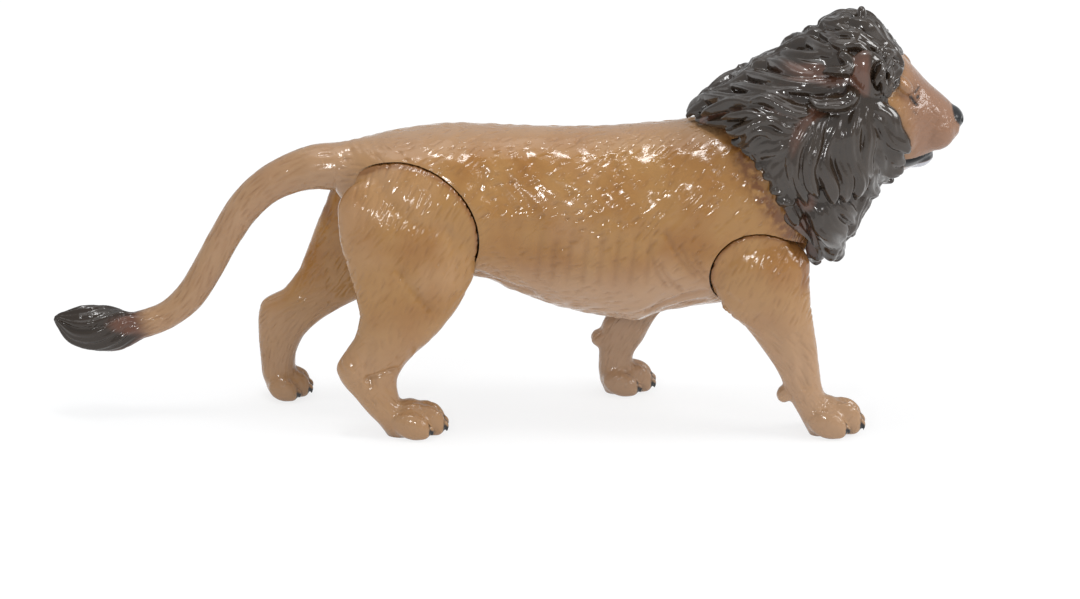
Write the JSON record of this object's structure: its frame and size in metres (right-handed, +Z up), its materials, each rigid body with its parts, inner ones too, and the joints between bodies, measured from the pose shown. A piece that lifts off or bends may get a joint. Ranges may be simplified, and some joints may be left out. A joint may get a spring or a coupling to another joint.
{
  "type": "toy lion figure",
  "caption": "Walking male lion figure moulded in glossy plastic, with a dark sculpted mane, curved tufted tail and legs that pivot at hips and shoulders.",
  "frame": {"origin": "centre of the bounding box at the height of the soles", "axes": "+X towards the nose, +Y to the lion's left, +Z up"},
  "size_m": [0.3014, 0.062, 0.1419],
  "materials": {
    "tan_pvc": "glossy moulded PVC, tan",
    "face_pvc": "glossy moulded PVC, tan with dark painted nose and lips",
    "dark_pvc": "glossy moulded PVC, charcoal over red-brown",
    "steel": "plain zinc-plated"
  },
  "bodies": {
    "body": {"torso_right_shell": "tan_pvc", "torso_left_shell": "tan_pvc", "head": "face_pvc", "mane": "dark_pvc", "tail": "tan_pvc"},
    "right_fore": {"right_fore_leg": "tan_pvc", "right_fore_washer": "steel", "right_fore_screw": "steel"},
    "left_fore": {"left_fore_leg": "tan_pvc", "left_fore_washer": "steel", "left_fore_screw": "steel"},
    "right_hind": {"right_hind_leg": "tan_pvc", "right_hind_washer": "steel", "right_hind_screw": "steel"},
    "left_hind": {"left_hind_leg": "tan_pvc", "left_hind_washer": "steel", "left_hind_screw": "steel"}
  },
  "joints": [
    {"name": "right_fore_pivot", "type": "hinge", "parent": "body", "child": "right_fore", "pos_m": [0.082, -0.0114, 0.0562], "axis": [0, -1, 0], "range_deg": [-40, 8]},
    {"name": "left_fore_pivot", "type": "hinge", "parent": "body", "child": "left_fore", "pos_m": [0.082, 0.0114, 0.0562], "axis": [0, -1, 0], "range_deg": [-4, 42]},
    {"name": "right_hind_pivot", "type": "hinge", "parent": "body", "child": "right_hind", "pos_m": [-0.035, -0.0114, 0.0682], "axis": [0, -1, 0], "range_deg": [-35, 6]},
    {"name": "left_hind_pivot", "type": "hinge", "parent": "body", "child": "left_hind", "pos_m": [-0.035, 0.0114, 0.0682], "axis": [0, -1, 0], "range_deg": [-10, 38]}
  ]
}
